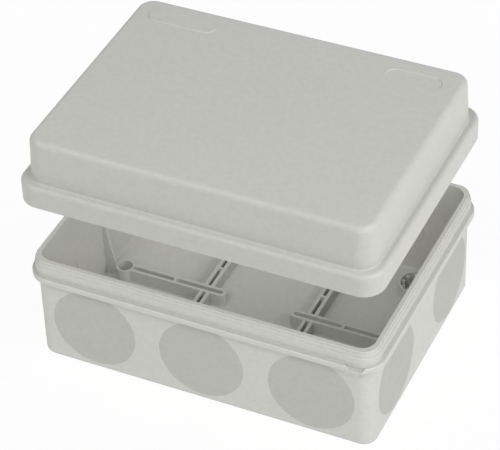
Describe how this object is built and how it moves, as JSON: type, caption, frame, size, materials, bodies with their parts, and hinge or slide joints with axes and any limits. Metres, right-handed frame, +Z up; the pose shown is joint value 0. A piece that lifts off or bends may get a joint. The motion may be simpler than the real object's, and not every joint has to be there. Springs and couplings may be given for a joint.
{
  "type": "electrical junction box",
  "caption": "Rectangular surface-mount electrical junction box with soft membrane cable entries in its walls and a push-on lid, lifted clear of the base.",
  "frame": {"origin": "centre of the base's underside, on the surface the box stands on or is fixed to", "axes": "+X along the long side, +Z up out of the open base towards the lid, front long wall at -Y"},
  "size_m": [0.1562, 0.1166, 0.1124],
  "materials": {
    "housing": "satin, light warm grey",
    "soft_entry": "matte, slightly darker warm grey"
  },
  "bodies": {
    "base": {"base_body": "housing", "rim_seal": "soft_entry", "membrane_front_left": "soft_entry", "membrane_front_middle": "soft_entry", "membrane_front_right": "soft_entry", "membrane_back_left": "soft_entry", "membrane_back_middle": "soft_entry", "membrane_back_right": "soft_entry", "membrane_left_front": "soft_entry", "membrane_left_back": "soft_entry", "membrane_right_front": "soft_entry", "membrane_right_back": "soft_entry"},
    "lid": {"lid": "housing"}
  },
  "joints": [
    {"name": "lid_lift", "type": "slide", "parent": "base", "child": "lid", "axis": [0, 0, 1], "range_m": [-0.037, 0.04]}
  ]
}
